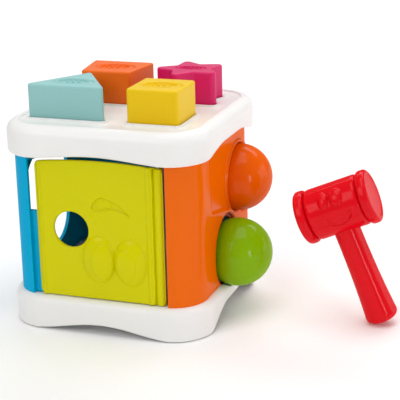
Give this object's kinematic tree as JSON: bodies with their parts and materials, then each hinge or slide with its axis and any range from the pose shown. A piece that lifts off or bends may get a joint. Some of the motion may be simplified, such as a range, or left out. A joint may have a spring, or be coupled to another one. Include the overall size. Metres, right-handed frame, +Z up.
{
  "type": "shape sorter",
  "caption": "Toddler's cube sorter: shaped holes in the lid for blocks, a side bench for balls knocked in with a toy hammer, and a hinged front door to take them out.",
  "frame": {"origin": "on the floor, at the middle of the cube's support pad", "axes": "+X from the cube towards the hammer, +Y to the back, +Z up; the door faces -Y"},
  "size_m": [0.2688, 0.15, 0.1712],
  "materials": {
    "white_plastic": "satin",
    "blue_plastic": "satin",
    "lime_plastic": "satin",
    "orange_plastic": "satin",
    "orange_ball_plastic": "satin",
    "green_ball_plastic": "satin",
    "red_plastic": "satin",
    "teal_plastic": "satin",
    "yellow_plastic": "satin",
    "amber_plastic": "satin",
    "magenta_plastic": "satin",
    "soft_ring": "matte",
    "steel": "brushed"
  },
  "bodies": {
    "cube": {"base_tray": "white_plastic", "top_lid": "white_plastic", "left_back_wall": "blue_plastic", "ball_bench_wall": "orange_plastic", "upper_grip_ring": "soft_ring", "lower_grip_ring": "soft_ring", "base_screws": "steel", "door_hinge_rod": "steel"},
    "door": {"front_door": "lime_plastic"},
    "hammer": {"hammer_handle": "red_plastic", "hammer_head": "red_plastic", "hammer_left_cap": "red_plastic", "hammer_right_cap": "red_plastic"},
    "triangle_block": {"triangle_block_shell": "teal_plastic", "triangle_block_cap": "teal_plastic"},
    "square_block": {"square_block_shell": "yellow_plastic", "square_block_cap": "yellow_plastic"},
    "trapezoid_block": {"trapezoid_block_shell": "amber_plastic", "trapezoid_block_cap": "amber_plastic"},
    "star_block": {"star_block_shell": "magenta_plastic", "star_block_cap": "magenta_plastic"},
    "upper_ball": {"upper_ball_outer_half": "orange_ball_plastic", "upper_ball_inner_half": "orange_ball_plastic"},
    "lower_ball": {"lower_ball_outer_half": "green_ball_plastic", "lower_ball_inner_half": "green_ball_plastic"}
  },
  "joints": [
    {"name": "door_hinge", "type": "hinge", "parent": "cube", "child": "door", "pos_m": [0.0433, -0.0656, 0.07], "axis": [0, 0, 1], "range_deg": [0, 100]},
    {"name": "triangle_drop", "type": "slide", "parent": "cube", "child": "triangle_block", "axis": [0, 0, 1], "range_m": [-0.111, 0.045]},
    {"name": "square_drop", "type": "slide", "parent": "cube", "child": "square_block", "axis": [0, 0, 1], "range_m": [-0.055, 0.045]},
    {"name": "trapezoid_drop", "type": "slide", "parent": "cube", "child": "trapezoid_block", "axis": [0, 0, 1], "range_m": [-0.111, 0.045]},
    {"name": "star_drop", "type": "slide", "parent": "cube", "child": "star_block", "axis": [0, 0, 1], "range_m": [-0.0095, 0.045]},
    {"name": "upper_ball_push", "type": "slide", "parent": "cube", "child": "upper_ball", "axis": [1, 0, 0], "range_m": [-0.0305, 0.026]},
    {"name": "lower_ball_push", "type": "slide", "parent": "cube", "child": "lower_ball", "axis": [1, 0, 0], "range_m": [-0.039, 0.017]},
    {"name": "hammer_lift", "type": "slide", "parent": "cube", "child": "hammer", "axis": [0, 0, 1], "range_m": [0, 0.08]}
  ]
}
